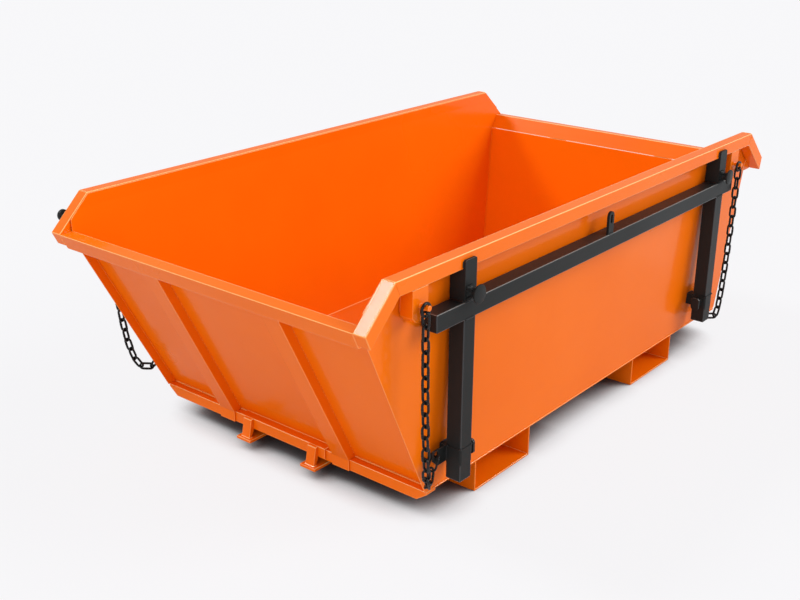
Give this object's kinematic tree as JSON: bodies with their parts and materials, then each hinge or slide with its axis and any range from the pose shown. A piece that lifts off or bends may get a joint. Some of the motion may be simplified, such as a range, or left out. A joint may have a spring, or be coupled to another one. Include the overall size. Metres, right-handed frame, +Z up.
{
  "type": "builders skip",
  "caption": "Open steel skip with sloping ends, tubular rim, fork pockets, tipping hooks, trunnion frames on the long sides and stowed lifting chains.",
  "frame": {"origin": "centre of the footprint, on the ground under the fork pockets", "axes": "+X along the long sides towards the plain end, with the tipping end at -X; +Z up; the pictured long side is at -Y"},
  "size_m": [2.767, 1.5946, 0.975],
  "materials": {
    "orange_paint": "gloss orange paint",
    "black_paint": "semi-gloss black paint",
    "chain_steel": "blackened chain steel"
  },
  "bodies": {
    "skip": {"floor_plate": "orange_paint", "end_wall_tipping": "orange_paint", "end_wall_plain": "orange_paint", "end_rim_tipping": "orange_paint", "end_rim_plain": "orange_paint", "foot_bar_tipping": "orange_paint", "foot_bar_plain": "orange_paint", "rib_tipping_near": "orange_paint", "rib_tipping_far": "orange_paint", "rib_plain_near": "orange_paint", "rib_plain_far": "orange_paint", "tipping_hook_bar": "orange_paint", "tipping_hook_near": "orange_paint", "tipping_hook_far": "orange_paint", "fork_pocket_tipping": "orange_paint", "fork_pocket_plain": "orange_paint", "side_wall_near": "orange_paint", "side_wall_far": "orange_paint", "side_rim_near": "orange_paint", "side_rim_far": "orange_paint", "chain_lug_tipping_near": "orange_paint", "chain_lug_tipping_far": "orange_paint", "chain_lug_plain_near": "orange_paint", "chain_lug_plain_far": "orange_paint", "cross_bar_near": "black_paint", "cross_bar_far": "black_paint", "lifting_eye_near": "black_paint", "lifting_eye_far": "black_paint", "post_tipping_near": "black_paint", "post_tipping_far": "black_paint", "post_plain_near": "black_paint", "post_plain_far": "black_paint", "post_head_tipping_near": "black_paint", "post_head_tipping_far": "black_paint", "post_head_plain_near": "black_paint", "post_head_plain_far": "black_paint", "trunnion_tipping_near": "black_paint", "trunnion_tipping_far": "black_paint", "trunnion_plain_near": "black_paint", "trunnion_plain_far": "black_paint", "stand_off_tipping_near": "black_paint", "stand_off_tipping_far": "black_paint", "stand_off_plain_near": "black_paint", "stand_off_plain_far": "black_paint", "cleat_tipping_near": "black_paint", "cleat_tipping_far": "black_paint", "cleat_plain_near": "black_paint", "cleat_plain_far": "black_paint"},
    "hung_chain_tipping_near": {"ring_tipping_near": "chain_steel", "chain_tipping_near": "chain_steel", "shackle_tipping_near": "chain_steel"},
    "hung_chain_tipping_far": {"ring_tipping_far": "chain_steel", "chain_tipping_far": "chain_steel", "shackle_tipping_far": "chain_steel"},
    "hung_chain_plain_near": {"ring_plain_near": "chain_steel", "chain_plain_near": "chain_steel", "shackle_plain_near": "chain_steel"},
    "hung_chain_plain_far": {"ring_plain_far": "chain_steel", "chain_plain_far": "chain_steel", "shackle_plain_far": "chain_steel"}
  },
  "joints": [
    {"name": "chain_swing_tipping_near", "type": "hinge", "parent": "skip", "child": "hung_chain_tipping_near", "pos_m": [-0.9775, -0.697, 0.27395], "axis": [-0.2494, -0.1167, 0.9613], "range_deg": [0, 25]},
    {"name": "chain_swing_tipping_far", "type": "hinge", "parent": "skip", "child": "hung_chain_tipping_far", "pos_m": [-0.9775, 0.697, 0.27395], "axis": [0.2494, -0.1167, -0.9613], "range_deg": [0, 25]},
    {"name": "chain_swing_plain_near", "type": "hinge", "parent": "skip", "child": "hung_chain_plain_near", "pos_m": [1.0145, -0.697, 0.27395], "axis": [-0.0986, 0.1199, -0.9879], "range_deg": [0, 25]},
    {"name": "chain_swing_plain_far", "type": "hinge", "parent": "skip", "child": "hung_chain_plain_far", "pos_m": [1.0145, 0.697, 0.27395], "axis": [0.0986, 0.1199, 0.9879], "range_deg": [0, 25]}
  ]
}
